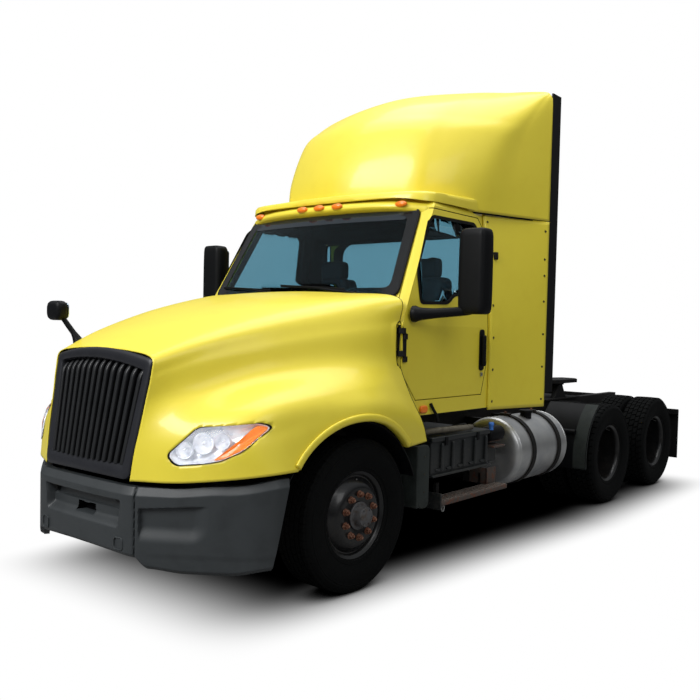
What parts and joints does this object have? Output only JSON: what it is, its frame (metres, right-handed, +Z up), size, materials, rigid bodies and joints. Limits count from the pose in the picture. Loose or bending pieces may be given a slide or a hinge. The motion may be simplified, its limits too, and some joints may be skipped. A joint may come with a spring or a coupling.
{
  "type": "semi truck tractor unit",
  "caption": "Three-axle day-cab highway tractor with tilting hood, opening doors, steered front wheels, twin drive wheels, roof fairing and a pitching fifth wheel.",
  "frame": {"origin": "on the ground, midway between the bumper and the mudflaps, on the centre plane", "axes": "+X forward, +Y to the driver's left, +Z up"},
  "size_m": [7.224, 3.08, 3.9],
  "materials": {
    "body_paint": "gloss",
    "dark_plastic": "satin",
    "black_rubber": "matte",
    "tyre_rubber": "matte",
    "wheel_paint": "satin",
    "chassis_paint": "satin",
    "greased_steel": "greasy",
    "tank_aluminium": "brushed",
    "tread_steel": "worn",
    "engine_iron": "matte",
    "radiator_core": "matte",
    "window_glass": "clear, tinted",
    "lamp_lens": "clear",
    "seat_cloth": "woven",
    "wheel_grip": "grained"
  },
  "bodies": {
    "root": {"bumper": "dark_plastic", "cab_back": "body_paint", "cab_floor": "body_paint", "cab_front": "body_paint", "cab_glass": "window_glass", "cab_mounts": "chassis_paint", "cab_roof": "body_paint", "crossmembers": "chassis_paint", "dashboard": "dark_plastic", "deck": "tread_steel", "drive_axles": "chassis_paint", "edge_seals": "black_rubber", "engine": "engine_iron", "fifth_wheel_base": "chassis_paint", "frame_rails": "chassis_paint", "front_axle": "chassis_paint", "front_springs": "chassis_paint", "fuel_tanks": "tank_aluminium", "mudflaps": "black_rubber", "quarter_fenders": "dark_plastic", "radiator": "radiator_core", "rear_suspension": "chassis_paint", "roof_fairing": "body_paint", "seats": "seat_cloth", "side_boxes": "chassis_paint", "side_extenders": "body_paint", "splash_panels": "dark_plastic", "steps": "tread_steel", "tail_lamps": "chassis_paint", "tank_brackets": "chassis_paint"},
    "knuckle_left": {"steering_knuckle_left": "chassis_paint"},
    "wheel_front_left": {"front_tyre_left": "tyre_rubber", "front_wheel_left": "wheel_paint"},
    "wheel_drive_1_left": {"drive_tyres_1_left": "tyre_rubber", "drive_wheels_1_left": "wheel_paint"},
    "wheel_drive_2_left": {"drive_tyres_2_left": "tyre_rubber", "drive_wheels_2_left": "wheel_paint"},
    "door_left": {"door_left": "body_paint", "door_glass_left": "window_glass", "mirror_left": "dark_plastic"},
    "knuckle_right": {"steering_knuckle_right": "chassis_paint"},
    "wheel_front_right": {"front_tyre_right": "tyre_rubber", "front_wheel_right": "wheel_paint"},
    "wheel_drive_1_right": {"drive_tyres_1_right": "tyre_rubber", "drive_wheels_1_right": "wheel_paint"},
    "wheel_drive_2_right": {"drive_tyres_2_right": "tyre_rubber", "drive_wheels_2_right": "wheel_paint"},
    "door_right": {"door_right": "body_paint", "door_glass_right": "window_glass", "mirror_right": "dark_plastic"},
    "tie_rod": {"tie_rod": "chassis_paint"},
    "hood": {"hood": "body_paint", "grille": "dark_plastic", "headlamp_left": "lamp_lens", "headlamp_right": "lamp_lens", "hood_mirror": "dark_plastic", "fender_liners": "dark_plastic", "fender_ends": "body_paint"},
    "fifth_wheel": {"fifth_wheel": "greased_steel"},
    "steering_wheel": {"steering_wheel": "wheel_grip"}
  },
  "joints": [
    {"name": "steer_left", "type": "hinge", "parent": "root", "child": "knuckle_left", "pos_m": [2.302, 0.845, 0.505], "axis": [0, 0, 1], "range_deg": [-40, 40]},
    {"name": "steer_right", "type": "hinge", "parent": "root", "child": "knuckle_right", "pos_m": [2.302, -0.845, 0.505], "axis": [0, 0, 1], "range_deg": [-40, 40]},
    {"name": "front_wheel_spin_left", "type": "hinge", "parent": "knuckle_left", "child": "wheel_front_left", "pos_m": [2.302, 0.99, 0.505], "axis": [0, 1, 0], "continuous": true},
    {"name": "front_wheel_spin_right", "type": "hinge", "parent": "knuckle_right", "child": "wheel_front_right", "pos_m": [2.302, -0.99, 0.505], "axis": [0, 1, 0], "continuous": true},
    {"name": "tie_rod_pivot", "type": "hinge", "parent": "knuckle_left", "child": "tie_rod", "pos_m": [2.132, 0.845, 0.368], "axis": [0, 0, 1], "range_deg": [-40, 40]},
    {"name": "drive_wheel_spin_1_left", "type": "hinge", "parent": "root", "child": "wheel_drive_1_left", "pos_m": [-1.572, 0.92, 0.505], "axis": [0, 1, 0], "continuous": true},
    {"name": "drive_wheel_spin_1_right", "type": "hinge", "parent": "root", "child": "wheel_drive_1_right", "pos_m": [-1.572, -0.92, 0.505], "axis": [0, 1, 0], "continuous": true},
    {"name": "drive_wheel_spin_2_left", "type": "hinge", "parent": "root", "child": "wheel_drive_2_left", "pos_m": [-2.892, 0.92, 0.505], "axis": [0, 1, 0], "continuous": true},
    {"name": "drive_wheel_spin_2_right", "type": "hinge", "parent": "root", "child": "wheel_drive_2_right", "pos_m": [-2.892, -0.92, 0.505], "axis": [0, 1, 0], "continuous": true},
    {"name": "door_swing_left", "type": "hinge", "parent": "root", "child": "door_left", "pos_m": [1.812, 1.091, 1.56], "axis": [0, 0, -1], "range_deg": [0, 70]},
    {"name": "door_swing_right", "type": "hinge", "parent": "root", "child": "door_right", "pos_m": [1.812, -1.091, 1.56], "axis": [0, 0, 1], "range_deg": [0, 70]},
    {"name": "hood_tilt", "type": "hinge", "parent": "root", "child": "hood", "pos_m": [3.548, 0, 0.7], "axis": [0, 1, 0], "range_deg": [0, 65]},
    {"name": "fifth_wheel_pitch", "type": "hinge", "parent": "root", "child": "fifth_wheel", "pos_m": [-1.982, 0, 1.118], "axis": [0, 1, 0], "range_deg": [-15, 15]},
    {"name": "steering_wheel_turn", "type": "hinge", "parent": "root", "child": "steering_wheel", "pos_m": [1.387, 0.52, 1.775], "axis": [-0.6691, 0, 0.7431], "range_deg": [-720, 720]}
  ],
  "couplings": [
    {"joint": "steer_right", "follows": "steer_left", "ratio": 1},
    {"joint": "tie_rod_pivot", "follows": "steer_left", "ratio": -1},
    {"joint": "steering_wheel_turn", "follows": "steer_left", "ratio": 18}
  ]
}
